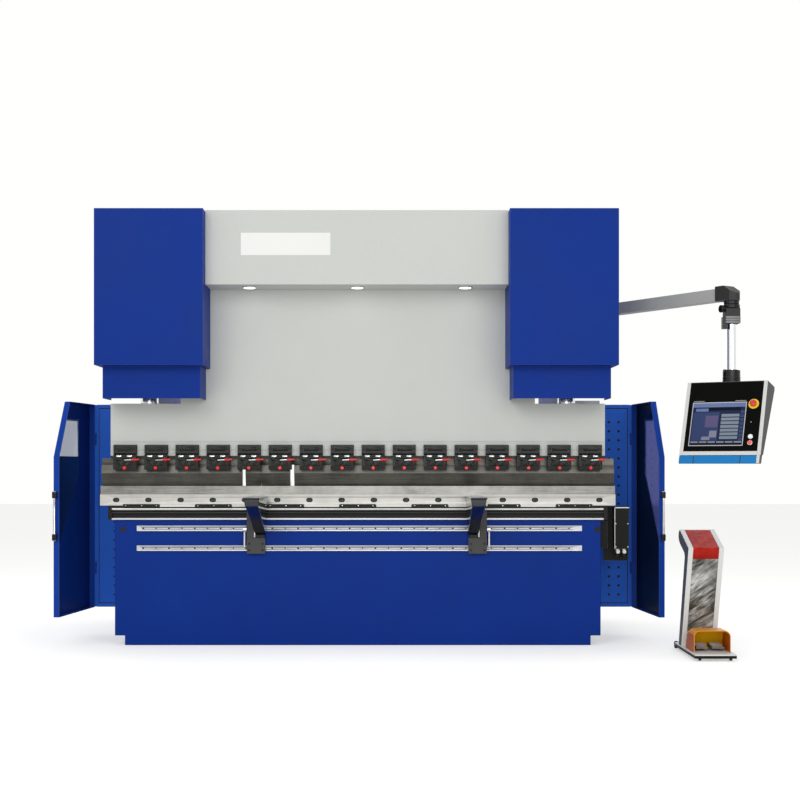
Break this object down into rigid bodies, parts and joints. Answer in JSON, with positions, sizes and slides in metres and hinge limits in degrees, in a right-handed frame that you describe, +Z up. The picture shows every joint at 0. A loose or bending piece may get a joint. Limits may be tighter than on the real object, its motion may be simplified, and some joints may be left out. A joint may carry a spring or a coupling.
{
  "type": "press brake",
  "caption": "Hydraulic press brake: bed and rising ram between C-shaped side frames, quick-clamped punch and V die, front supports, side doors, swinging control panel and foot station.",
  "frame": {"origin": "centre of the bed's underside, on the floor under the bending line", "axes": "+X along the bending line to the right as the operator sees it, +Y to the back, +Z up"},
  "size_m": [4.2952, 2.2542, 2.657],
  "materials": {
    "blue_paint": "semi-gloss powder coat",
    "light_grey_paint": "satin textured paint",
    "dark_grey_paint": "satin paint",
    "mid_grey_paint": "satin paint",
    "black_oxide_steel": "black oxide, ground edges",
    "bright_steel": "ground",
    "black_plastic": "gloss",
    "smoked_window": "clear tinted sheet",
    "red_plastic": "gloss",
    "white_plastic": "satin",
    "grip_blue": "satin",
    "orange_paint": "gloss",
    "black_rubber": "matt",
    "red_paint": "gloss"
  },
  "bodies": {
    "frame": {"bed_beam": "blue_paint", "bottom_die": "bright_steel", "crowning_drive": "black_plastic", "cylinder_cover_left": "blue_paint", "cylinder_cover_right": "blue_paint", "cylinder_left": "dark_grey_paint", "cylinder_right": "dark_grey_paint", "die_holder": "bright_steel", "electrical_cabinet": "light_grey_paint", "front_rail_lower": "bright_steel", "front_rail_upper": "bright_steel", "gauge_rail_left": "bright_steel", "gauge_rail_right": "bright_steel", "head_beam": "light_grey_paint", "oil_tank": "blue_paint", "pump_motor": "mid_grey_paint", "ram_guide_left": "bright_steel", "ram_guide_right": "bright_steel", "side_frame_left": "blue_paint", "side_frame_right": "blue_paint", "side_panel_left": "blue_paint", "side_panel_right": "blue_paint", "support_beam": "dark_grey_paint"},
    "ram": {"ram_plate": "light_grey_paint", "piston_rod_left": "bright_steel", "piston_rod_right": "bright_steel", "punch_clamps": "black_oxide_steel", "punch_left": "black_oxide_steel", "punch_section_a": "black_oxide_steel", "punch_section_b": "black_oxide_steel", "punch_right": "black_oxide_steel"},
    "door_left_body": {"door_left": "blue_paint", "door_window_left": "smoked_window", "door_handle_left": "bright_steel"},
    "door_right_body": {"door_right": "blue_paint", "door_window_right": "smoked_window", "door_handle_right": "bright_steel"},
    "arm": {"swing_arm": "mid_grey_paint", "arm_elbow": "black_plastic"},
    "pendant": {"pendant_swivel": "black_plastic", "drop_tube": "bright_steel", "control_panel": "black_plastic", "panel_handle": "grip_blue"},
    "estop": {"estop_button": "red_plastic"},
    "start": {"start_button": "white_plastic"},
    "stop": {"stop_button": "red_plastic"},
    "support_left": {"front_support_left": "dark_grey_paint"},
    "support_right": {"front_support_right": "dark_grey_paint"},
    "lever_left": {"clamp_lever_left": "bright_steel"},
    "lever_right": {"clamp_lever_right": "bright_steel"},
    "gauge": {"gauge_beam": "mid_grey_paint"},
    "finger_left": {"gauge_finger_left": "bright_steel"},
    "finger_right": {"gauge_finger_right": "bright_steel"},
    "foot_station": {"foot_column": "red_paint", "foot_base": "white_plastic", "pedal_guard": "orange_paint"},
    "pedal_left_body": {"pedal_left": "dark_grey_paint"},
    "pedal_right_body": {"pedal_right": "dark_grey_paint"},
    "foot_wheel_left_body": {"foot_wheel_left": "black_rubber"},
    "foot_wheel_right_body": {"foot_wheel_right": "black_rubber"}
  },
  "joints": [
    {"name": "ram_slide", "type": "slide", "parent": "frame", "child": "ram", "axis": [0, 0, 1], "range_m": [0, 0.2]},
    {"name": "door_left_swing", "type": "hinge", "parent": "frame", "child": "door_left_body", "pos_m": [-1.749, 0.51, 0.84], "axis": [0, 0, -1], "range_deg": [-5, 85]},
    {"name": "door_right_swing", "type": "hinge", "parent": "frame", "child": "door_right_body", "pos_m": [1.795, 0.51, 0.84], "axis": [0, 0, 1], "range_deg": [-5, 85]},
    {"name": "arm_swing", "type": "hinge", "parent": "frame", "child": "arm", "pos_m": [1.6, 0.302, 2.12], "axis": [0, 0, 1], "range_deg": [-25, 90]},
    {"name": "pendant_swivel_turn", "type": "hinge", "parent": "arm", "child": "pendant", "pos_m": [2.18926, -0.55859, 1.98], "axis": [0, 0, 1], "range_deg": [-60, 120]},
    {"name": "estop_press", "type": "slide", "parent": "pendant", "child": "estop", "axis": [0.4668, 0.8085, -0.3584], "range_m": [0, 0.004], "stiffness_N_per_m": 1500, "springref_m": -0.001},
    {"name": "start_press", "type": "slide", "parent": "pendant", "child": "start", "axis": [0.4668, 0.8085, -0.3584], "range_m": [0, 0.004], "stiffness_N_per_m": 800, "springref_m": -0.001},
    {"name": "stop_press", "type": "slide", "parent": "pendant", "child": "stop", "axis": [0.4668, 0.8085, -0.3584], "range_m": [0, 0.004], "stiffness_N_per_m": 800, "springref_m": -0.001},
    {"name": "support_left_slide", "type": "slide", "parent": "frame", "child": "support_left", "axis": [1, 0, 0], "range_m": [-0.55, 0.4]},
    {"name": "support_right_slide", "type": "slide", "parent": "frame", "child": "support_right", "axis": [1, 0, 0], "range_m": [-0.4, 0.5]},
    {"name": "lever_left_turn", "type": "hinge", "parent": "support_left", "child": "lever_left", "pos_m": [-0.6965, -0.0776, 0.72], "axis": [1, 0, 0], "range_deg": [-90, 0]},
    {"name": "lever_right_turn", "type": "hinge", "parent": "support_right", "child": "lever_right", "pos_m": [0.8095, -0.0776, 0.72], "axis": [1, 0, 0], "range_deg": [-90, 0]},
    {"name": "gauge_slide", "type": "slide", "parent": "frame", "child": "gauge", "axis": [0, 1, 0], "range_m": [-0.4, 0.3]},
    {"name": "finger_left_slide", "type": "slide", "parent": "gauge", "child": "finger_left", "axis": [1, 0, 0], "range_m": [-0.4, 0.35]},
    {"name": "finger_right_slide", "type": "slide", "parent": "gauge", "child": "finger_right", "axis": [1, 0, 0], "range_m": [-0.35, 0.4]},
    {"name": "foot_station_roll", "type": "slide", "parent": "frame", "child": "foot_station", "axis": [0, 1, 0], "range_m": [-0.5, 0]},
    {"name": "pedal_left_press", "type": "hinge", "parent": "foot_station", "child": "pedal_left_body", "pos_m": [2.0065, -0.475, 0.063], "axis": [1, 0, 0], "range_deg": [0, 5], "stiffness_Nm_per_rad": 20, "springref_deg": -5.73},
    {"name": "pedal_right_press", "type": "hinge", "parent": "foot_station", "child": "pedal_right_body", "pos_m": [2.1005, -0.475, 0.063], "axis": [1, 0, 0], "range_deg": [0, 5], "stiffness_Nm_per_rad": 20, "springref_deg": -5.73},
    {"name": "foot_wheel_left_spin", "type": "hinge", "parent": "foot_station", "child": "foot_wheel_left_body", "pos_m": [1.948, -0.175, 0.022], "axis": [1, 0, 0], "continuous": true},
    {"name": "foot_wheel_right_spin", "type": "hinge", "parent": "foot_station", "child": "foot_wheel_right_body", "pos_m": [2.159, -0.175, 0.022], "axis": [1, 0, 0], "continuous": true}
  ],
  "couplings": [
    {"joint": "foot_wheel_left_spin", "follows": "foot_station_roll", "rad_per_m": -45.45},
    {"joint": "foot_wheel_right_spin", "follows": "foot_station_roll", "rad_per_m": -45.45}
  ]
}
